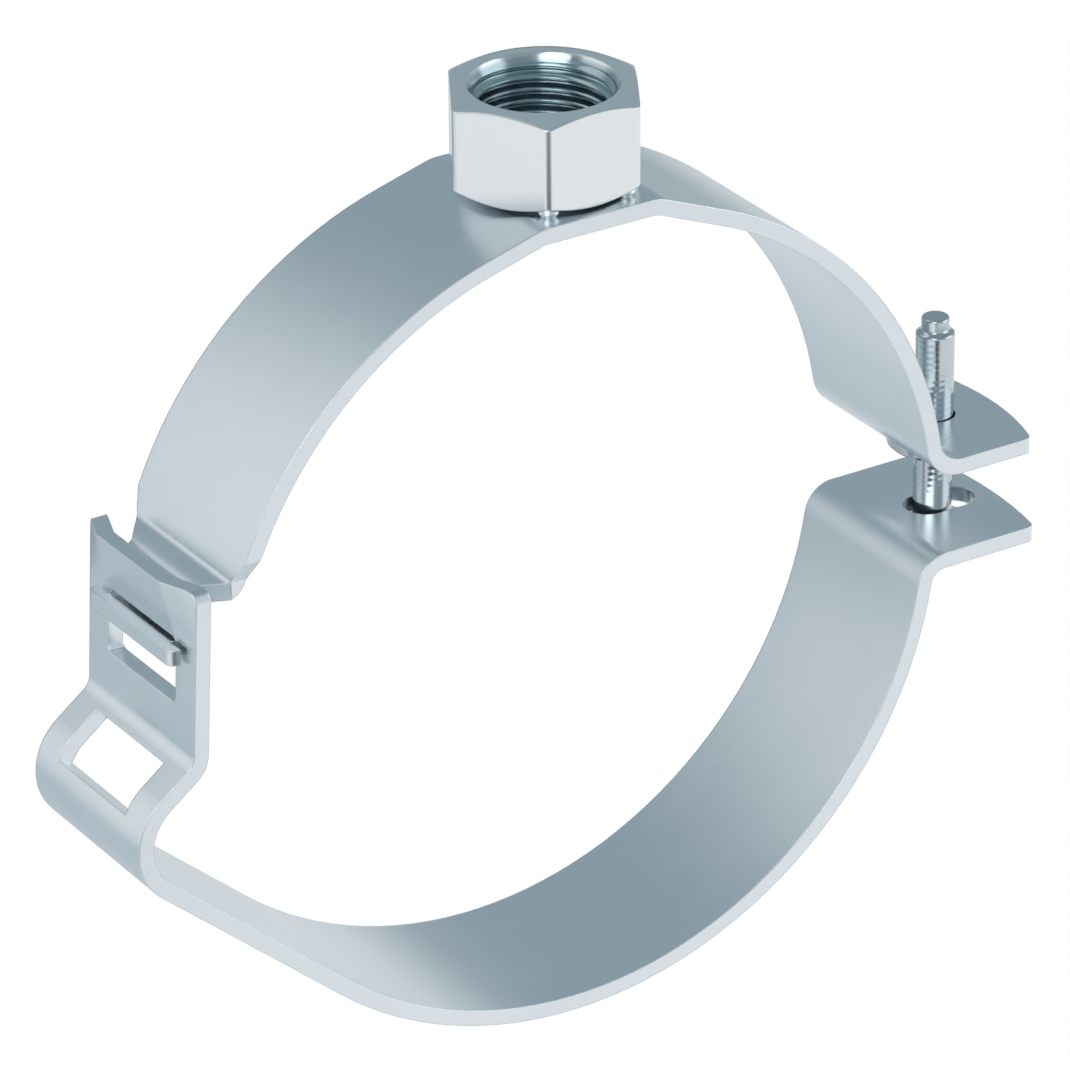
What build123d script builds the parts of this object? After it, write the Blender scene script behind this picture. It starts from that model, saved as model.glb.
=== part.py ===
from build123d import *
import math
import os

# Hinged pipe bracket: two bent steel bands hook together on the left, are drawn together by a clamp screw on
# the right, and carry a welded connection nut on top. Sizes are in millimetres. The frame's origin is the centre
# of the lower band's round cradle, which is the pipe axis. Y runs along the pipe, +X towards the clamp screw and
# +Z towards the connection nut.

# Steel strip
sheet = 2.5
band_width = 30.3
flange_corner_radius = 1.5
window_corner_radius = 1.2

# Round stretches of the two bands, measured on the pipe side of the strip
cradle_radius = 61.7
crown_inset = 0.9
crown_centre_x = 2.2
crown_centre_z = 2.2

# Flanges
flange_length = 22.4
lower_flange_top = -5.9
lower_flange_end_bow = 1.7
lower_bend_radius = 5.0
upper_flange_bottom = 6.8
upper_flange_end_bow = 2.7
upper_bend_radius = 6.5

# Bulge between the ramp and the latch strip
bulge_radius = 7.5
bulge_setback = 3.35
bulge_centre_z = -15.35
bulge_slant_angle = 37.3
bulge_window_width = 19.5
bulge_window_turn = 27.0
bulge_window_rise = 4.8

# Latch strip, leaning a little towards the pipe at its top, where its crossbar is pressed outwards
latch_foot_radius = 5.2
latch_setback = 0.1
latch_lean_angle = 2.7
latch_top = 24.0
latch_window_width = 19.5
latch_window_bottom = 4.4
crossbar_height = 9.3
crossbar_bow = 2.5
crossbar_flat_width = 16.4
latch_corner_radius = 1.8

# Flat seat of the connection nut on the upper band
nut_seat_rise = 0.2
nut_seat_length = 19.0
nut_seat_fold_radius = 4.0

# Left end of the upper band: a tapered shelf, a tongue behind the crossbar, and a hook with a wider head
taper_height = 3.4
taper_fold_width = 26.6
shelf_fold_drop = 1.0
shelf_slope = 20.0
shelf_bend_radius = 3.6
shelf_length = 3.4
tongue_width = 18.2
tongue_gap = 0.6
tongue_bend_radius = 1.2
hook_play = 0.6
hook_bend_radius = 3.2
hook_head_gap = 0.6
hook_head_depth = 1.7
hook_head_width = 24.0
hook_head_corner_radius = 1.5

# Hexagons are chamfered from a circle just inside their flats
hexagon_chamfer_inset = 0.3

# Connection nut
nut_axis_x = 4.05
nut_across_flats = 27.0
nut_height = 14.7
nut_top_chamfer_angle = 25.0
nut_foot_chamfer_angle = 32.0
nut_thread_radius = 10.48
nut_countersink_radius = 11.2
nut_countersink_depth = 0.9
weld_gap = 0.4
weld_nugget_radius = 1.3
weld_nugget_foot_radius = 1.8
weld_nugget_height = 1.6
weld_nugget_inset = 1.2

# Clamp screw, its washer and the round nut under the upper flange
screw_setback = 10.0
screw_radius = 3.0
screw_thread_clearance = 0.05
screw_tip_z = 25.7
screw_point_radius = 2.15
screw_point_length = 1.9
screw_point_cone = 0.85
screw_point_edge = 0.4
head_across_flats = 10.0
head_height = 4.0
head_chamfer_angle = 30.0
head_clearance = 0.55
washer_radius = 6.0
washer_bore_radius = 3.2
washer_thickness = 1.2
washer_running_gap = 0.05
flange_hole_radius = 3.3
flange_nut_radius = 7.2
flange_nut_thickness = 2.5
flange_nut_edge = 0.6

# Slot for the screw in the lower flange, measured from the screw's axis
slot_width = 7.0
slot_inner_reach = 4.7
slot_outer_reach = 7.3

crown_radius = cradle_radius - crown_inset
flange_reach = cradle_radius + flange_length
screw_axis_x = flange_reach - screw_setback
latch_face_x = -cradle_radius - latch_setback
nut_seat_height = crown_centre_z + crown_radius + nut_seat_rise
cradle_centre = (0, 0)
crown_centre = (crown_centre_x, crown_centre_z)
bulge_centre = (-cradle_radius - bulge_setback, bulge_centre_z)
slant_normal_angle = 90 + bulge_slant_angle
latch_angle = 90 - latch_lean_angle
crossbar_bottom = latch_top - crossbar_height
shelf_fold_z = latch_top - shelf_fold_drop
hook_top = crossbar_bottom - hook_play
hook_underside = hook_top - sheet
nut_seat_top = nut_seat_height + sheet
lower_flange_underside = lower_flange_top - sheet


def polar(centre, radius, angle):
    """The point of a circle at an angle in degrees."""
    turn = math.radians(angle)
    return (centre[0] + radius * math.cos(turn), centre[1] + radius * math.sin(turn))


def crossing(first, first_angle, second, second_angle):
    """The point where two straight lines cross, each given by a point and its direction in degrees."""
    first_way = polar((0, 0), 1, first_angle)
    second_way = polar((0, 0), 1, second_angle)
    gap = (second[0] - first[0], second[1] - first[1])
    spread = first_way[0] * second_way[1] - first_way[1] * second_way[0]
    run = (gap[0] * second_way[1] - gap[1] * second_way[0]) / spread
    return polar(first, run, first_angle)


def tangent_angle(centre, radius, outside):
    """Half the angle between the two tangents' feet that a point outside a circle sees, and its direction."""
    across = outside[0] - centre[0]
    up = outside[1] - centre[1]
    spread = math.degrees(math.acos(radius / math.hypot(across, up)))
    return spread, math.degrees(math.atan2(up, across))


def flange_path(centre, ring_radius, level, bend, bend_side):
    """A level flange and the bend that joins it to a ring, on the pipe side of the strip.

    bend_side is -1 where the bend lies below the flange's level and 1 where it lies above it.
    Returns the edges and the angle at which the bend meets the ring.
    """
    bend_z = level + bend_side * bend
    bend_x = centre[0] + math.sqrt((ring_radius + bend) ** 2 - (bend_z - centre[1]) ** 2)
    ring_angle = math.degrees(math.atan2(bend_z - centre[1], bend_x - centre[0]))
    flange = Line((flange_reach, level), (bend_x, level))
    turn = CenterArc((bend_x, bend_z), bend, -90 * bend_side, ring_angle - 90 * bend_side)
    return [flange, turn], ring_angle


def strip_along(path, outer_side):
    """The steel strip whose pipe side follows a path of the side view, centred on the middle plane."""
    section = make_face(offset(Wire(path), sheet, side=outer_side))
    return extrude(Plane.XZ * section, band_width / 2, both=True)


def shape_flange_end(strip, bow, level):
    """Cut a flange's end to a shallow arc and round its two corners."""
    half = band_width / 2
    corner_x = flange_reach - bow
    beyond = flange_reach + sheet
    end_arc = ThreePointArc((corner_x, -half), (flange_reach, 0), (corner_x, half))
    rest = Polyline((corner_x, half), (beyond, half), (beyond, -half), (corner_x, -half))
    waste = extrude(Plane.XY.offset(level) * make_face([end_arc, rest]), sheet)
    strip = strip - waste
    corners = strip.edges().filter_by(Axis.Z).filter_by(lambda edge: edge.center().X > corner_x - sheet / 2)
    return fillet(corners, flange_corner_radius)


def latch_x(height):
    """The latch strip's pipe side at a height."""
    return latch_face_x - (latch_top - height) * math.tan(math.radians(latch_lean_angle))


def crossbar_section(height, bow, flat_width):
    """The latch strip's plan view at a height, its middle bowed outwards."""
    half = band_width / 2
    inner_half = flat_width / 2
    flank_angle = math.degrees(math.atan2(bow, half - inner_half))
    outer_half = inner_half + sheet * math.tan(math.radians(flank_angle / 2))
    inner_x = latch_x(height)
    outer_x = inner_x - sheet
    outline = Polyline(
        (inner_x, -half),
        (inner_x - bow, -inner_half),
        (inner_x - bow, inner_half),
        (inner_x, half),
        (outer_x, half),
        (outer_x - bow, outer_half),
        (outer_x - bow, -outer_half),
        (outer_x, -half),
        close=True,
    )
    return Plane.XY.offset(height) * make_face(outline)


def bulge_window():
    """The punched opening from the bulge's side up its slant."""
    depth = 2 * sheet
    foot_angle = slant_normal_angle + bulge_window_turn
    tangent_point = polar(bulge_centre, bulge_radius, slant_normal_angle)
    head_point = polar(tangent_point, bulge_window_rise, bulge_slant_angle)
    outline = Polyline(
        polar(head_point, -sheet, slant_normal_angle),
        polar(head_point, depth, slant_normal_angle),
        polar(tangent_point, depth, slant_normal_angle),
        polar(bulge_centre, bulge_radius + depth, foot_angle),
        polar(bulge_centre, bulge_radius - sheet, foot_angle),
        close=True,
    )
    return extrude(Plane.XZ * make_face(outline), bulge_window_width / 2, both=True)


def latch_window():
    """The punched opening of the latch strip, below the crossbar."""
    height = crossbar_bottom - latch_window_bottom
    depth = 2 * (sheet + crossbar_bow)
    opening = Box(2 * depth, latch_window_width, height)
    opening = fillet(opening.edges().filter_by(Axis.X), window_corner_radius)
    return Pos(latch_face_x, 0, latch_window_bottom + height / 2) * opening


def make_lower_band():
    flange, flange_angle = flange_path(cradle_centre, cradle_radius, lower_flange_top, lower_bend_radius, -1)
    spacing = math.hypot(*bulge_centre)
    bulge_direction = math.degrees(math.atan2(bulge_centre[1], bulge_centre[0]))
    ramp_normal = bulge_direction + math.degrees(math.acos((cradle_radius - bulge_radius) / spacing))
    ramp_start = polar(cradle_centre, cradle_radius, ramp_normal)
    slant_point = polar(bulge_centre, bulge_radius, slant_normal_angle)
    latch_point = (latch_face_x, latch_top)
    bulge_corner = crossing(ramp_start, ramp_normal - 90, slant_point, bulge_slant_angle)
    latch_foot = crossing(slant_point, bulge_slant_angle, latch_point, latch_angle)
    cradle = CenterArc(cradle_centre, cradle_radius, flange_angle, ramp_normal - flange_angle)
    latch = FilletPolyline(
        ramp_start, bulge_corner, latch_foot, latch_point, radius=(bulge_radius, latch_foot_radius)
    )
    strip = strip_along(flange + [cradle] + list(latch.edges()), Side.LEFT)
    strip -= Pos(latch_face_x, 0, crossbar_bottom) * Box(
        4 * sheet, band_width, 2 * latch_top, align=(Align.CENTER, Align.CENTER, Align.MIN)
    )
    crossbar_foot = crossbar_section(crossbar_bottom, 0, latch_window_width)
    crossbar_head = crossbar_section(latch_top, crossbar_bow, crossbar_flat_width)
    strip += loft([crossbar_foot, crossbar_head], ruled=True)
    strip = fillet(strip.edges().filter_by(Axis.X).group_by(Axis.Z)[-1], latch_corner_radius)
    strip = shape_flange_end(strip, lower_flange_end_bow, lower_flange_underside)
    slot = extrude(SlotOverall(slot_inner_reach + slot_outer_reach, slot_width), 2 * sheet, both=True)
    slot_middle = screw_axis_x + (slot_outer_reach - slot_inner_reach) / 2
    strip -= Pos(slot_middle, 0, lower_flange_top) * slot
    strip -= latch_window()
    strip -= bulge_window()
    return strip


def tongue_side_waste(side, fold_x, tongue_x, tongue_z, head_x):
    """What is cut away beside the upper band's left end on one side, in the side view and the plan view."""
    half = band_width / 2
    fold_half = taper_fold_width / 2
    tongue_half = tongue_width / 2
    head_half = hook_head_width / 2
    near_x = fold_x + 2 * sheet
    far_x = head_x - 4 * sheet
    taper_top = shelf_fold_z + taper_height
    taper = Polyline(
        (side * half, taper_top),
        (side * fold_half, shelf_fold_z),
        (side * fold_half, tongue_z),
        (side * band_width, tongue_z),
        (side * band_width, taper_top),
        close=True,
    )
    shoulder = Polyline(
        (fold_x, side * fold_half),
        (tongue_x, side * tongue_half),
        (far_x, side * tongue_half),
        (far_x, side * band_width),
        (fold_x, side * band_width),
        close=True,
    )
    neck = Polyline(
        (near_x, side * tongue_half),
        (head_x, side * tongue_half),
        (head_x, side * head_half),
        (far_x, side * head_half),
        (far_x, side * band_width),
        (near_x, side * band_width),
        close=True,
    )
    beside_taper = Pos(near_x, 0, 0) * extrude(Plane.YZ * make_face(taper), far_x - near_x)
    beside_shoulder = Pos(0, 0, tongue_z) * extrude(make_face(shoulder), latch_top)
    beside_neck = extrude(make_face(neck), tongue_z)
    return [beside_taper, beside_shoulder, beside_neck]


def make_upper_band():
    flange, flange_angle = flange_path(crown_centre, crown_radius, upper_flange_bottom, upper_bend_radius, 1)
    seat_right = (nut_axis_x + nut_seat_length / 2, nut_seat_height)
    seat_left = (nut_axis_x - nut_seat_length / 2, nut_seat_height)
    right_spread, right_direction = tangent_angle(crown_centre, crown_radius, seat_right)
    left_spread, left_direction = tangent_angle(crown_centre, crown_radius, seat_left)
    seat_start = right_direction - right_spread
    seat_end = left_direction + left_spread
    seat = FilletPolyline(
        polar(crown_centre, crown_radius, seat_start),
        seat_right,
        seat_left,
        polar(crown_centre, crown_radius, seat_end),
        radius=nut_seat_fold_radius,
    )

    fold_angle = 180 - math.degrees(math.asin((shelf_fold_z - crown_centre_z) / (crown_radius + sheet)))
    outer_fold = polar(crown_centre, crown_radius + sheet, fold_angle)
    shelf_angle = 180 + shelf_slope
    shelf_underside = polar(outer_fold, sheet, shelf_angle + 90)
    crossbar_foot = (latch_x(crossbar_bottom), crossbar_bottom)
    crossbar_head = (latch_face_x - crossbar_bow, latch_top)
    crossbar_angle = math.degrees(math.atan2(latch_top - crossbar_bottom, crossbar_head[0] - crossbar_foot[0]))
    tongue_face = polar(crossbar_foot, tongue_gap + sheet, crossbar_angle - 90)
    arc_end_angle = fold_angle - math.degrees(shelf_bend_radius / crown_radius)
    arc_end = polar(crown_centre, crown_radius, arc_end_angle)
    shelf_corner = crossing(arc_end, arc_end_angle + 90, shelf_underside, shelf_angle)
    tongue_corner = crossing(shelf_underside, shelf_angle, tongue_face, crossbar_angle)
    hook_corner = crossing(tongue_face, crossbar_angle, (0, hook_underside), 0)
    head_x = latch_x(hook_top) - sheet - hook_head_gap
    hook_reach = head_x - hook_head_depth
    latch = FilletPolyline(
        arc_end,
        shelf_corner,
        tongue_corner,
        hook_corner,
        (hook_reach, hook_underside),
        radius=(shelf_bend_radius, tongue_bend_radius, hook_bend_radius),
    )
    crown_right = CenterArc(crown_centre, crown_radius, flange_angle, seat_start - flange_angle)
    crown_left = CenterArc(crown_centre, crown_radius, seat_end, arc_end_angle - seat_end)
    path = flange + [crown_right] + list(seat.edges()) + [crown_left] + list(latch.edges())
    strip = strip_along(path, Side.RIGHT)
    strip = shape_flange_end(strip, upper_flange_end_bow, upper_flange_bottom)

    for side in (-1, 1):
        strip -= tongue_side_waste(side, outer_fold[0], outer_fold[0] - shelf_length, tongue_corner[1], head_x)
    head_corners = strip.edges().filter_by(Axis.Z).filter_by(lambda edge: edge.center().X < head_x - sheet / 4)
    strip = fillet(head_corners, hook_head_corner_radius)
    strip -= Pos(screw_axis_x, 0, upper_flange_bottom) * Cylinder(flange_hole_radius, 4 * sheet)
    return strip


def hexagon(across_flats, height):
    """A hexagonal bar standing on the ground plane, with two corners on the X axis."""
    return extrude(RegularPolygon(across_flats / 2, 6, major_radius=False), height)


def chamfer_envelope(across_flats, height, top_angle, foot_angle):
    """The turned envelope that chamfers a hexagonal bar's corners at its top and foot."""
    rim = across_flats / 2 - hexagon_chamfer_inset
    reach = across_flats / math.sqrt(3) + hexagon_chamfer_inset
    top_drop = (reach - rim) * math.tan(math.radians(top_angle))
    foot_rise = (reach - rim) * math.tan(math.radians(foot_angle))
    outline = Polyline(
        (0, 0), (rim, 0), (reach, foot_rise), (reach, height - top_drop), (rim, height), (0, height), close=True
    )
    return revolve(Plane.XZ * make_face(outline), Axis.Z)


def make_connection_nut():
    nut_foot = nut_seat_top + weld_gap
    nut = hexagon(nut_across_flats, nut_height)
    nut &= chamfer_envelope(nut_across_flats, nut_height, nut_top_chamfer_angle, nut_foot_chamfer_angle)
    nut = Pos(nut_axis_x, 0, nut_foot) * nut
    nugget_circle = nut_across_flats / math.sqrt(3) - weld_nugget_inset - weld_nugget_radius
    for corner_angle in (60, 120, 240, 300):
        place = polar((nut_axis_x, 0), nugget_circle, corner_angle)
        nugget = Cone(
            weld_nugget_foot_radius,
            weld_nugget_radius,
            weld_nugget_height,
            align=(Align.CENTER, Align.CENTER, Align.MIN),
        )
        nut += Pos(place[0], place[1], nut_seat_top) * nugget
    bore = Cylinder(nut_thread_radius, 2 * nut_height)
    countersink = Cone(
        nut_thread_radius,
        nut_countersink_radius,
        nut_countersink_depth,
        align=(Align.CENTER, Align.CENTER, Align.MAX),
    )
    nut -= Pos(nut_axis_x, 0, nut_foot + nut_height / 2) * bore
    nut -= Pos(nut_axis_x, 0, nut_foot + nut_height) * countersink
    return nut


def make_flange_nut():
    """The round nut pressed into the upper flange from below, which carries the screw's thread."""
    outline = Polyline(
        (0, 0),
        (flange_nut_radius, 0),
        (flange_nut_radius, flange_nut_edge - flange_nut_thickness),
        (flange_nut_radius - flange_nut_edge, -flange_nut_thickness),
        (0, -flange_nut_thickness),
        close=True,
    )
    nut = revolve(Plane.XZ * make_face(outline), Axis.Z)
    nut -= Cylinder(screw_radius + screw_thread_clearance, 4 * flange_nut_thickness)
    return Pos(screw_axis_x, 0, upper_flange_bottom) * nut


def make_screw_washer():
    washer_top = lower_flange_underside - head_clearance
    washer = Cylinder(washer_radius, washer_thickness, align=(Align.CENTER, Align.CENTER, Align.MAX))
    washer -= Cylinder(washer_bore_radius, 3 * washer_thickness)
    return Pos(screw_axis_x, 0, washer_top) * washer


def make_clamp_screw():
    head_top = lower_flange_underside - head_clearance - washer_thickness - washer_running_gap
    point_start = screw_tip_z - screw_point_length
    outline = Polyline(
        (0, head_top - head_height),
        (screw_radius, head_top - head_height),
        (screw_radius, point_start - screw_point_cone),
        (screw_point_radius, point_start),
        (screw_point_radius, screw_tip_z - screw_point_edge),
        (screw_point_radius - screw_point_edge, screw_tip_z),
        (0, screw_tip_z),
        close=True,
    )
    shank = Pos(screw_axis_x, 0, 0) * revolve(Plane.XZ * make_face(outline), Axis.Z)
    head = hexagon(head_across_flats, head_height)
    head &= chamfer_envelope(head_across_flats, head_height, 0, head_chamfer_angle)
    return Pos(screw_axis_x, 0, head_top - head_height) * head + shank


pieces = {
    "lower_band": make_lower_band(),
    "upper_band": make_upper_band(),
    "connection_nut": make_connection_nut(),
    "flange_nut": make_flange_nut(),
    "screw_washer": make_screw_washer(),
    "clamp_screw": make_clamp_screw(),
}

os.makedirs("parts", exist_ok=True)
for name, piece in pieces.items():
    export_step(piece, f"parts/{name}.step")
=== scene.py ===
import math

import bmesh
import bpy
from mathutils import Matrix, Vector


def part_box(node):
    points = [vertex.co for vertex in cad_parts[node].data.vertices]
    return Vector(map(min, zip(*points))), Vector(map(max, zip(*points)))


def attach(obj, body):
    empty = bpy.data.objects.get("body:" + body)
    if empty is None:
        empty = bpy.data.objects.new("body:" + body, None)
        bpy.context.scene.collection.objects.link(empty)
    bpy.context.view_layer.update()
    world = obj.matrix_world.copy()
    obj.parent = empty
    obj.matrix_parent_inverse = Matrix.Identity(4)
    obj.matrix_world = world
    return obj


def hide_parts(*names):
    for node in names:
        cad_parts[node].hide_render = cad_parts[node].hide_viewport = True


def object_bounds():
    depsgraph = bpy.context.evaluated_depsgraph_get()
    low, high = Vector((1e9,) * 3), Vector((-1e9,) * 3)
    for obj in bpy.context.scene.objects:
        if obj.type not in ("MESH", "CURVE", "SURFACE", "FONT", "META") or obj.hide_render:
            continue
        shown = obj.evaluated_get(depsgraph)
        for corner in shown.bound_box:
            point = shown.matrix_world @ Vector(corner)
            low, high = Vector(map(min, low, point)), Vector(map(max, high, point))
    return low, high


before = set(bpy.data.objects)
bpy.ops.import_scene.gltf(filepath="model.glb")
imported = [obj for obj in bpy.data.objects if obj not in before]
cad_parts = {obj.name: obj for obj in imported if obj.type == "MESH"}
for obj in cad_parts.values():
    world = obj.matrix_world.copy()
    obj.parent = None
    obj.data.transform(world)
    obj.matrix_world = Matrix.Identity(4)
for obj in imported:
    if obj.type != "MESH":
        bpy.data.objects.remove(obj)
cad_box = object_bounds()

millimetre = 0.001

# Camera, at the photograph's viewing angle
picture_size = 1070
camera_azimuth = -32.336
camera_elevation = 26.788
camera_roll = -0.5
camera_distance = 1071.55 * millimetre
camera_focal_pixels = 7228.2
camera_sensor = 36.0
camera_nearest = 0.01
camera_farthest = 50
target_right = 1.550 * millimetre
target_up = 8.117 * millimetre

# Table that the metal mirrors: pale, with a dark patch towards the camera and a dim one behind,
# and grey far away; a patch or the far part fades in between the two distances of its reach
table_drop = 0.10
table_half_width = 3.0
table_pale = (0.86, 0.875, 0.89, 1)
table_far_reach = (0.55, 1.3)
table_far_grey = (0.48, 0.54, 0.57, 1)
front_patch = (-0.21, -0.39)
front_patch_reach = (0.17, 0.29)
front_patch_colour = (0.09, 0.11, 0.12, 1)
back_patch = (-0.20, 0.35)
back_patch_reach = (0.12, 0.52)
back_patch_colour = (0.50, 0.57, 0.61, 1)

# Card that the metal mirrors behind the bracket: grey, paler to the left and low on the right
card_distance = 0.35
card_half_width = 1.5
card_grey = (0.29, 0.37, 0.41, 1)
card_left_pale = (0.86, 0.875, 0.88, 1)
card_left_lean = 0.25
card_left_from = 0.14
card_left_to = 0.41
card_right_pale = (0.76, 0.79, 0.80, 1)
card_right_from = -0.05
card_right_to = 0.17
card_low_from = 0.085
card_low_to = -0.03

# Room that darkens towards its ceiling: each tone stands at a share of the way from straight
# down, 0, to straight up, 1
room_tones = [
    (0.48, (0.62, 0.66, 0.68, 1)),
    (0.62, (0.44, 0.50, 0.53, 1)),
    (0.85, (0.25, 0.32, 0.355, 1)),
]

# Lamps: name, place and power of each
lamp_size = 1.5
lamps = [
    ("key_lamp", (-1.2, -1.0, 1.0), 10),
    ("fill_lamp", (1.3, -0.9, 0.5), 5),
]

# Zinc plating: tones and roughness of its crystals, from one end of their range to the other
strip_look = {
    "tones": ((0.76, 0.82, 0.86, 1), (0.86, 0.90, 0.93, 1)),
    "roughness": (0.24, 0.32),
    "grain_scale": 2500,
}
nut_look = {
    "tones": ((0.84, 0.87, 0.89, 1), (0.92, 0.94, 0.95, 1)),
    "roughness": (0.16, 0.24),
    "grain_scale": 2500,
}
fastener_look = {
    "tones": ((0.52, 0.58, 0.61, 1), (0.68, 0.73, 0.75, 1)),
    "roughness": (0.12, 0.20),
    "grain_scale": 3000,
}
# Painted shade: a darker, bluish tone for the inside of the nut's threaded bore, where little light
# reaches
bore_painted_shade_colour = (0.42, 0.53, 0.57, 1)
crystal_scale = 60
crystal_detail = 6
crystal_contrast = 0.6
grain_detail = 3
grain_strength = 0.10
grain_height = 0.01 * millimetre
soft_edge_radius = 0.35 * millimetre
soft_edge_samples = 6

# Pipe thread of the connection nut, G 1/2, and metric thread of the clamp screw
pipe_thread_pitch = 1.814 * millimetre
pipe_thread_outer = 10.48 * millimetre
pipe_thread_inner = 9.32 * millimetre
pipe_thread_steps = 12
screw_thread_pitch = 1.0 * millimetre
screw_thread_depth = 0.02 * millimetre
screw_thread_steps = 10

# Connection nut and the weld beads, or nuggets, under its corners
nut_across_flats = 27.0 * millimetre
nut_edge_radius = 1.5 * millimetre
nut_top_chamfer_angle = 25.0
nut_foot_chamfer_angle = 32.0
nut_weld_gap = 0.4 * millimetre
nut_mouth_radius = 11.2 * millimetre
nut_mouth_depth = 0.9 * millimetre
nugget_corners = (1, 2, 4, 5)
nugget_end_radius = 1.2 * millimetre
nugget_middle_radius = 1.65 * millimetre
nugget_rise = 1.5 * millimetre
nugget_inset = 2.5 * millimetre
nugget_steps = 8
nugget_steps_around = 28

# Clamp screw
screw_radius = 3.0 * millimetre
screw_steps_around = 96
head_across_flats = 10.0 * millimetre
head_height = 4.0 * millimetre
head_edge_radius = 0.3 * millimetre
head_chamfer_angle = 30.0
head_overlap = 0.5 * millimetre
point_radius = 2.15 * millimetre
point_length = 1.9 * millimetre
point_cone = 0.85 * millimetre
point_edge = 0.4 * millimetre
point_steps = 6

# Hexagons: where their chamfers start inside the flats, and points on each corner and each side
chamfer_inset = 0.3 * millimetre
hexagon_corner_steps = 6
hexagon_side_steps = 14

# Meshes
merge_distance = 1e-4 * millimetre
sharp_angle = 32.0


def add_camera():
    """The camera, on a sphere around the origin, turned to a target beside it."""
    azimuth = math.radians(camera_azimuth)
    elevation = math.radians(camera_elevation)
    roll = math.radians(camera_roll)
    back = Vector((
        math.sin(azimuth) * math.cos(elevation),
        -math.cos(azimuth) * math.cos(elevation),
        math.sin(elevation),
    ))
    level_right = Vector((math.cos(azimuth), math.sin(azimuth), 0))
    level_up = back.cross(level_right)
    right = math.cos(roll) * level_right + math.sin(roll) * level_up
    up = math.cos(roll) * level_up - math.sin(roll) * level_right
    target = target_right * right + target_up * up
    data = bpy.data.cameras.new("camera")
    data.sensor_width = camera_sensor
    data.lens = camera_focal_pixels / picture_size * camera_sensor
    data.clip_start = camera_nearest
    data.clip_end = camera_farthest
    camera = bpy.data.objects.new("camera", data)
    turn = Matrix((right, up, back)).transposed().to_4x4()
    camera.matrix_world = Matrix.Translation(target + camera_distance * back) @ turn
    bpy.context.scene.collection.objects.link(camera)
    bpy.context.scene.camera = camera


def soft_step(nodes, links, value, start, stop):
    """A factor that goes smoothly from 0 where the value is start to 1 where it is stop."""
    step = nodes.new("ShaderNodeMapRange")
    step.interpolation_type = "SMOOTHSTEP"
    rising = stop > start
    step.inputs["From Min"].default_value = start if rising else stop
    step.inputs["From Max"].default_value = stop if rising else start
    step.inputs["To Min"].default_value = 0 if rising else 1
    step.inputs["To Max"].default_value = 1 if rising else 0
    links.new(value, step.inputs["Value"])
    return step.outputs["Result"]


def blend(nodes, links, factor, first, second):
    """A colour between two others; each is a plain colour or another node's output."""
    mix = nodes.new("ShaderNodeMix")
    mix.data_type = "RGBA"
    links.new(factor, mix.inputs["Factor"])
    for name, colour in (("A", first), ("B", second)):
        if isinstance(colour, tuple):
            mix.inputs[name].default_value = colour
        else:
            links.new(colour, mix.inputs[name])
    return mix.outputs["Result"]


def calculate(nodes, links, operation, *values):
    """The result of one step of arithmetic; each value is a number or another node's output."""
    result = nodes.new("ShaderNodeMath")
    result.operation = operation
    for socket, value in zip(result.inputs, values):
        if isinstance(value, (int, float)):
            socket.default_value = value
        else:
            links.new(value, socket)
    return result.outputs["Value"]


def distance_from(nodes, links, place, centre):
    """How far a place is from a fixed centre."""
    reach = nodes.new("ShaderNodeVectorMath")
    reach.operation = "DISTANCE"
    reach.inputs[1].default_value = centre
    links.new(place, reach.inputs[0])
    return reach.outputs["Value"]


def mix_shaders(nodes, links, factor, first, second):
    """The first shader where the factor is 0 and the second where it is 1."""
    mix = nodes.new("ShaderNodeMixShader")
    links.new(factor, mix.inputs["Fac"])
    links.new(first, mix.inputs[1])
    links.new(second, mix.inputs[2])
    return mix.outputs["Shader"]


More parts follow.
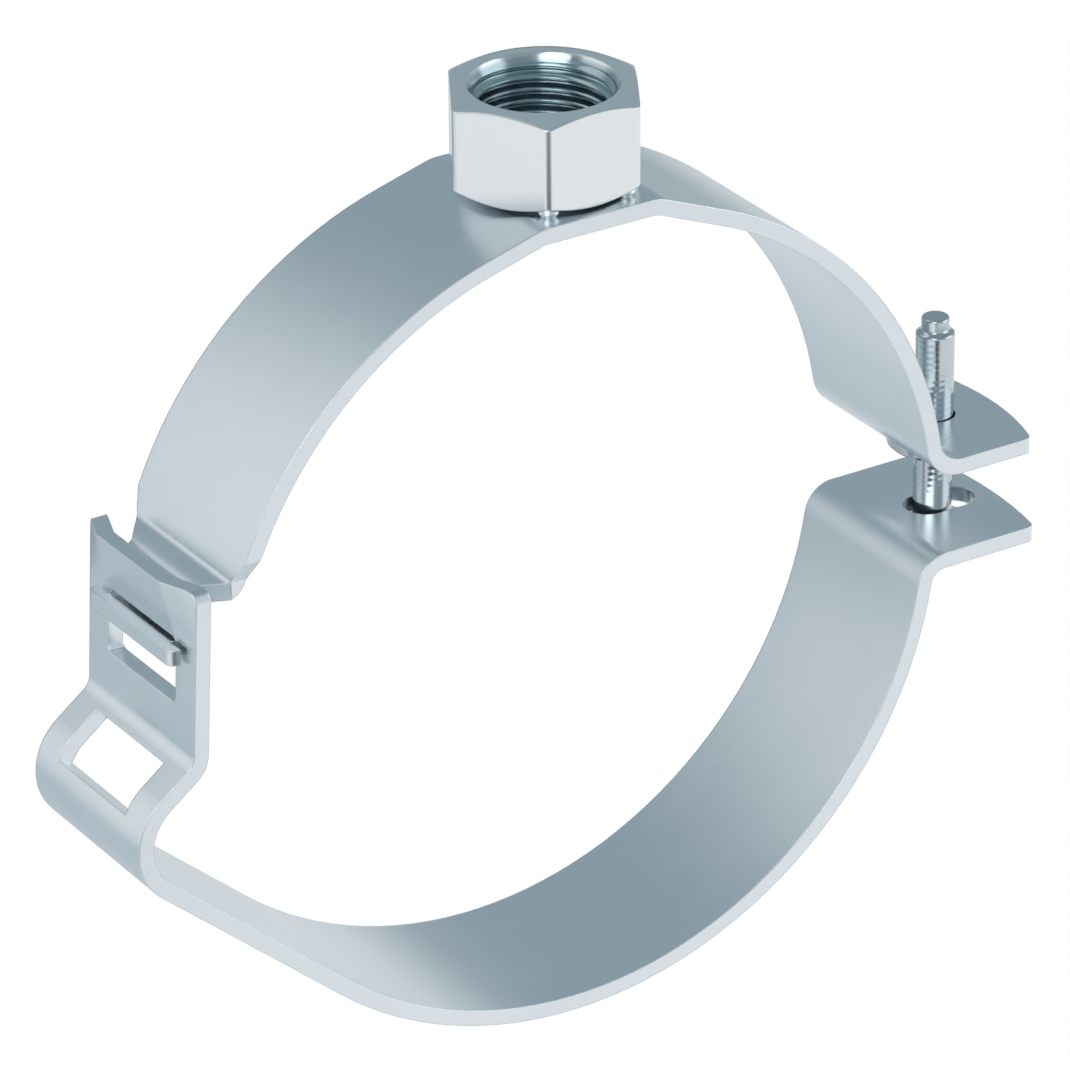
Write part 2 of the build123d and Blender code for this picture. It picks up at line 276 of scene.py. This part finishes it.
def zinc_plating(name, tones, roughness, grain_scale, bore_axis=None):
    """Zinc plating: cloudy crystals, a satin gloss and a fine grain, with painted shade inside a
    bore.
    """
    material = bpy.data.materials.new(name)
    material.use_nodes = True
    nodes = material.node_tree.nodes
    links = material.node_tree.links
    shader = nodes["Principled BSDF"]
    shader.inputs["Metallic"].default_value = 1
    place = nodes.new("ShaderNodeTexCoord").outputs["Object"]

    crystals = nodes.new("ShaderNodeTexNoise")
    crystals.inputs["Scale"].default_value = crystal_scale
    crystals.inputs["Detail"].default_value = crystal_detail
    crystals.inputs["Roughness"].default_value = crystal_contrast
    links.new(place, crystals.inputs["Vector"])
    colour = blend(nodes, links, crystals.outputs["Fac"], *tones)
    # Painted shade: within the thread's outer radius the colour turns to the darker bore tone,
    # fading out towards the mouth's radius
    if bore_axis is not None:
        flat = nodes.new("ShaderNodeVectorMath")
        flat.operation = "MULTIPLY"
        flat.inputs[1].default_value = (1, 1, 0)
        links.new(place, flat.inputs[0])
        distance = distance_from(nodes, links, flat.outputs["Vector"], (bore_axis, 0, 0))
        outside = soft_step(nodes, links, distance, pipe_thread_outer, nut_mouth_radius)
        colour = blend(nodes, links, outside, bore_painted_shade_colour, colour)
    links.new(colour, shader.inputs["Base Color"])

    gloss = nodes.new("ShaderNodeMapRange")
    gloss.inputs["To Min"].default_value = roughness[0]
    gloss.inputs["To Max"].default_value = roughness[1]
    links.new(crystals.outputs["Fac"], gloss.inputs["Value"])
    links.new(gloss.outputs["Result"], shader.inputs["Roughness"])

    grain = nodes.new("ShaderNodeTexNoise")
    grain.inputs["Scale"].default_value = grain_scale
    grain.inputs["Detail"].default_value = grain_detail
    links.new(place, grain.inputs["Vector"])
    soft_edge = nodes.new("ShaderNodeBevel")
    soft_edge.samples = soft_edge_samples
    soft_edge.inputs["Radius"].default_value = soft_edge_radius
    bump = nodes.new("ShaderNodeBump")
    bump.inputs["Strength"].default_value = grain_strength
    bump.inputs["Distance"].default_value = grain_height
    links.new(soft_edge.outputs["Normal"], bump.inputs["Normal"])
    links.new(grain.outputs["Fac"], bump.inputs["Height"])
    links.new(bump.outputs["Normal"], shader.inputs["Normal"])
    return material


def stage_material(name):
    """An empty material of the stage, with its nodes, links, surface, light path and place."""
    material = bpy.data.materials.new(name)
    material.use_nodes = True
    nodes = material.node_tree.nodes
    nodes.clear()
    surface = nodes.new("ShaderNodeOutputMaterial").inputs["Surface"]
    path = nodes.new("ShaderNodeLightPath")
    place = nodes.new("ShaderNodeNewGeometry").outputs["Position"]
    return material, nodes, material.node_tree.links, surface, path, place


def table_material(level):
    """A matt white: the camera sees it as plain white, and metal as a table with two patches."""
    material, nodes, links, surface, path, place = stage_material("stage_white")
    paint = nodes.new("ShaderNodeBsdfDiffuse")
    paint.inputs["Color"].default_value = table_pale
    white = nodes.new("ShaderNodeEmission")
    white.inputs["Strength"].default_value = 1
    table = nodes.new("ShaderNodeEmission")
    away = distance_from(nodes, links, place, (0, 0, level))
    far = soft_step(nodes, links, away, *table_far_reach)
    tone = blend(nodes, links, far, table_pale, table_far_grey)
    patches = [
        (back_patch, back_patch_reach, back_patch_colour),
        (front_patch, front_patch_reach, front_patch_colour),
    ]
    for centre, reach, colour in patches:
        distance = distance_from(nodes, links, place, (*centre, level))
        outside = soft_step(nodes, links, distance, *reach)
        tone = blend(nodes, links, outside, colour, tone)
    links.new(tone, table.inputs["Color"])
    mirrored = mix_shaders(
        nodes, links, path.outputs["Is Glossy Ray"], paint.outputs["BSDF"], table.outputs["Emission"]
    )
    seen = mix_shaders(
        nodes, links, path.outputs["Is Camera Ray"], mirrored, white.outputs["Emission"]
    )
    links.new(seen, surface)
    return material


def card_material():
    """A grey card that only metal mirrors: to the camera and to other light it isn't there."""
    material, nodes, links, surface, path, place = stage_material("stage_card")
    parts = nodes.new("ShaderNodeSeparateXYZ")
    links.new(place, parts.inputs["Vector"])
    across = parts.outputs["X"]
    up = parts.outputs["Z"]
    leftwards = calculate(nodes, links, "MULTIPLY", across, -1)
    leaning = calculate(nodes, links, "MULTIPLY_ADD", up, card_left_lean, leftwards)
    left = soft_step(nodes, links, leaning, card_left_from, card_left_to)
    right = soft_step(nodes, links, across, card_right_from, card_right_to)
    low = soft_step(nodes, links, up, card_low_from, card_low_to)
    low_right = calculate(nodes, links, "MULTIPLY", right, low)
    tone = blend(nodes, links, left, card_grey, card_left_pale)
    tone = blend(nodes, links, low_right, tone, card_right_pale)
    card = nodes.new("ShaderNodeEmission")
    links.new(tone, card.inputs["Color"])
    clear = nodes.new("ShaderNodeBsdfTransparent")
    seen = mix_shaders(
        nodes, links, path.outputs["Is Glossy Ray"], clear.outputs["BSDF"], card.outputs["Emission"]
    )
    links.new(seen, surface)
    return material


def add_stage_plane(name, corners, material):
    """A plane that belongs to the stage, not to the bracket."""
    mesh = bpy.data.meshes.new(name)
    mesh.from_pydata(corners, [], [(0, 1, 2, 3)])
    mesh.materials.append(material)
    plane = bpy.data.objects.new(name, mesh)
    bpy.context.scene.collection.objects.link(plane)


def add_table_and_card():
    """The table below the bracket and the card that stands on it, behind the bracket."""
    level = cad_box[0][2] - table_drop
    side = table_half_width
    corners = [
        (-side, -side, level), (side, -side, level), (side, side, level), (-side, side, level)
    ]
    add_stage_plane("floor", corners, table_material(level))
    back = card_distance
    side = card_half_width
    corners = [
        (-side, back, level), (side, back, level), (side, back, side), (-side, back, side)
    ]
    add_stage_plane("card", corners, card_material())


def add_world():
    """White to the camera; for the light, a room that darkens towards its ceiling."""
    world = bpy.data.worlds.new("studio")
    world.use_nodes = True
    bpy.context.scene.world = world
    nodes = world.node_tree.nodes
    links = world.node_tree.links
    nodes.clear()
    out = nodes.new("ShaderNodeOutputWorld")
    place = nodes.new("ShaderNodeTexCoord")
    parts = nodes.new("ShaderNodeSeparateXYZ")
    rise = nodes.new("ShaderNodeMapRange")
    rise.inputs["From Min"].default_value = -1
    rise.inputs["From Max"].default_value = 1
    ramp = nodes.new("ShaderNodeValToRGB")
    for end in (0, -1):
        ramp.color_ramp.elements[end].position = room_tones[end][0]
        ramp.color_ramp.elements[end].color = room_tones[end][1]
    for position, colour in room_tones[1:-1]:
        ramp.color_ramp.elements.new(position).color = colour
    room = nodes.new("ShaderNodeBackground")
    white = nodes.new("ShaderNodeBackground")
    white.inputs["Color"].default_value = (1, 1, 1, 1)
    path = nodes.new("ShaderNodeLightPath")
    links.new(place.outputs["Generated"], parts.inputs["Vector"])
    links.new(parts.outputs["Z"], rise.inputs["Value"])
    links.new(rise.outputs["Result"], ramp.inputs["Fac"])
    links.new(ramp.outputs["Color"], room.inputs["Color"])
    seen = mix_shaders(
        nodes,
        links,
        path.outputs["Is Camera Ray"],
        room.outputs["Background"],
        white.outputs["Background"],
    )
    links.new(seen, out.inputs["Surface"])


def add_lamp(name, place, power):
    """A large, soft, round lamp that shines on the origin."""
    data = bpy.data.lights.new(name, "AREA")
    data.shape = "DISK"
    data.size = lamp_size
    data.energy = power
    lamp = bpy.data.objects.new(name, data)
    lamp.location = place
    lamp.rotation_euler = (-Vector(place)).to_track_quat("-Z", "Y").to_euler()
    bpy.context.scene.collection.objects.link(lamp)


def rounded_hexagon(across_flats, edge_radius):
    """Points of a hexagon with rounded corners, two of them on the X axis, going once around."""
    corner = across_flats / math.sqrt(3) - edge_radius / math.cos(math.pi / 6)
    points = []
    for index in range(6):
        turn = index * math.pi / 3
        centre = Vector((math.cos(turn), math.sin(turn))) * corner
        for step in range(hexagon_corner_steps + 1):
            angle = turn + (step / hexagon_corner_steps - 0.5) * math.pi / 3
            points.append(centre + edge_radius * Vector((math.cos(angle), math.sin(angle))))
        next_turn = turn + math.pi / 3
        next_centre = Vector((math.cos(next_turn), math.sin(next_turn))) * corner
        flat_turn = turn + math.pi / 6
        outwards = Vector((math.cos(flat_turn), math.sin(flat_turn))) * edge_radius
        for step in range(1, hexagon_side_steps):
            points.append(centre.lerp(next_centre, step / hexagon_side_steps) + outwards)
    return points


def standing_column(centre_x, centre_y, turn, outline):
    """An outline of reaches and heights, stood up at one turn around an upright axis."""
    return [
        (centre_x + reach * math.cos(turn), centre_y + reach * math.sin(turn), height)
        for reach, height in outline
    ]


def mesh_from_columns(name, columns, closed):
    """A mesh from columns of points side by side around an axis; closed joins their two ends."""
    rows = len(columns[0])
    vertices = [point for column in columns for point in column]
    faces = []
    for index in range(len(columns)):
        here = index * rows
        there = (index + 1) % len(columns) * rows
        for row in range(rows if closed else rows - 1):
            above = (row + 1) % rows
            faces.append((here + row, there + row, there + above, here + above))
    mesh = bpy.data.meshes.new(name)
    mesh.from_pydata(vertices, [], faces)
    work = bmesh.new()
    work.from_mesh(mesh)
    bmesh.ops.remove_doubles(work, verts=work.verts, dist=merge_distance)
    bmesh.ops.recalc_face_normals(work, faces=work.faces)
    work.to_mesh(mesh)
    work.free()
    return mesh


def add_piece(name, meshes, body, node, finish):
    """One object from several meshes, which stands for a CAD node and moves with its body."""
    work = bmesh.new()
    for mesh in meshes:
        work.from_mesh(mesh)
        bpy.data.meshes.remove(mesh)
    joined = bpy.data.meshes.new(name)
    work.to_mesh(joined)
    work.free()
    joined.shade_smooth()
    joined.set_sharp_from_angle(angle=math.radians(sharp_angle))
    joined.materials.append(finish)
    piece = bpy.data.objects.new(name, joined)
    bpy.context.scene.collection.objects.link(piece)
    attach(piece, body)
    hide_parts(node)
    return piece


def thread_share(height, turn, pitch):
    """How far a thread stands between its root, 0, and its crest, 1, both of them rounded."""
    phase = height / pitch - turn / math.tau
    return 0.5 - 0.5 * math.cos(math.tau * phase)


def connection_nut_mesh(axis_x, foot, top):
    """The hexagon with its chamfers, countersunk mouth and internal pipe thread."""
    rim = nut_across_flats / 2 - chamfer_inset
    top_slope = math.tan(math.radians(nut_top_chamfer_angle))
    foot_slope = math.tan(math.radians(nut_foot_chamfer_angle))
    thread_top = top - nut_mouth_depth
    thread_rows = int((thread_top - foot) / pipe_thread_pitch * pipe_thread_steps)
    columns = []
    for corner in rounded_hexagon(nut_across_flats, nut_edge_radius):
        radius = corner.length
        turn = math.atan2(corner.y, corner.x)
        outline = [(rim, foot), (radius, foot + (radius - rim) * foot_slope)]
        outline += [(radius, top - (radius - rim) * top_slope), (rim, top), (nut_mouth_radius, top)]
        for row in range(thread_rows + 1):
            height = thread_top + (foot - thread_top) * row / thread_rows
            share = thread_share(height, turn, pipe_thread_pitch)
            run_in = min(row / pipe_thread_steps, 1)
            depth = (pipe_thread_outer - pipe_thread_inner) * share * run_in
            outline.append((pipe_thread_outer - depth, height))
        columns.append(standing_column(axis_x, 0, turn, outline))
    return mesh_from_columns("connection_nut_body", columns, True)


def nugget_mesh(centre_x, centre_y, foot):
    """One weld bead, which swelled out where it melted between the nut's corner and the band."""
    outline = [(0, foot)]
    for step in range(nugget_steps + 1):
        share = step / nugget_steps
        swell = math.sin(math.pi * share)
        reach = nugget_end_radius + (nugget_middle_radius - nugget_end_radius) * swell
        outline.append((reach, foot + nugget_rise * share))
    outline.append((0, foot + nugget_rise))
    columns = []
    for index in range(nugget_steps_around):
        turn = math.tau * index / nugget_steps_around
        columns.append(standing_column(centre_x, centre_y, turn, outline))
    return mesh_from_columns("nugget", columns, False)


def add_connection_nut(finish):
    """The connection nut with its thread and its weld beads."""
    low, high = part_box("connection_nut")
    axis_x = (low[0] + high[0]) / 2
    meshes = [connection_nut_mesh(axis_x, low[2] + nut_weld_gap, high[2])]
    nugget_circle = nut_across_flats / math.sqrt(3) - nugget_inset
    for corner in nugget_corners:
        turn = corner * math.pi / 3
        meshes.append(nugget_mesh(
            axis_x + nugget_circle * math.cos(turn), nugget_circle * math.sin(turn), low[2]
        ))
    return add_piece(
        "connection_nut_threaded", meshes, "upper", "connection_nut", finish
    )


def screw_head_mesh(axis_x, foot, top):
    """The hexagon head, chamfered below."""
    rim = head_across_flats / 2 - chamfer_inset
    slope = math.tan(math.radians(head_chamfer_angle))
    columns = []
    for corner in rounded_hexagon(head_across_flats, head_edge_radius):
        radius = corner.length
        turn = math.atan2(corner.y, corner.x)
        outline = [(0, foot), (rim, foot), (radius, foot + (radius - rim) * slope)]
        outline += [(radius, top), (0, top)]
        columns.append(standing_column(axis_x, 0, turn, outline))
    return mesh_from_columns("screw_head", columns, False)


def screw_shank_mesh(axis_x, foot, tip):
    """The threaded shank, its rounded shoulder and its thinner point with a rounded edge."""
    thread_end = tip - point_length - point_cone
    thread_rows = int((thread_end - foot) / screw_thread_pitch * screw_thread_steps)
    columns = []
    for index in range(screw_steps_around):
        turn = math.tau * index / screw_steps_around
        outline = [(0, foot)]
        for row in range(thread_rows + 1):
            height = foot + (thread_end - foot) * row / thread_rows
            share = thread_share(height, turn, screw_thread_pitch)
            outline.append((screw_radius - screw_thread_depth * (1 - share), height))
        for step in range(1, point_steps + 1):
            share = step / point_steps
            swell = 0.5 + 0.5 * math.cos(math.pi * share)
            reach = point_radius + (screw_radius - point_radius) * swell
            outline.append((reach, thread_end + point_cone * share))
        for step in range(point_steps + 1):
            turn_over = math.pi / 2 * step / point_steps
            reach = point_radius - point_edge * (1 - math.cos(turn_over))
            outline.append((reach, tip - point_edge * (1 - math.sin(turn_over))))
        outline.append((0, tip))
        columns.append(standing_column(axis_x, 0, turn, outline))
    return mesh_from_columns("screw_shank", columns, False)


def add_clamp_screw(finish):
    """The clamp screw with its rolled thread."""
    low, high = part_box("clamp_screw")
    axis_x = (low[0] + high[0]) / 2
    head_top = low[2] + head_height
    meshes = [
        screw_head_mesh(axis_x, low[2], head_top),
        screw_shank_mesh(axis_x, head_top - head_overlap, high[2]),
    ]
    return add_piece(
        "clamp_screw_threaded", meshes, "screw", "clamp_screw", finish
    )


add_camera()
add_table_and_card()
add_world()
for lamp_name, lamp_place, lamp_power in lamps:
    add_lamp(lamp_name, lamp_place, lamp_power)
bpy.context.scene.view_settings.view_transform = "Standard"

nut_low, nut_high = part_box("connection_nut")
strip_zinc = zinc_plating("strip_zinc", **strip_look)
nut_zinc = zinc_plating("nut_zinc", bore_axis=(nut_low[0] + nut_high[0]) / 2, **nut_look)
fastener_zinc = zinc_plating("fastener_zinc", **fastener_look)

finishes = {
    "upper_band": strip_zinc,
    "lower_band": strip_zinc,
    "connection_nut": nut_zinc,
    "flange_nut": fastener_zinc,
    "clamp_screw": fastener_zinc,
    "screw_washer": fastener_zinc,
}
for node, finish in finishes.items():
    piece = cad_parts[node]
    piece.data.materials.clear()
    piece.data.materials.append(finish)
add_connection_nut(nut_zinc)
add_clamp_screw(fastener_zinc)
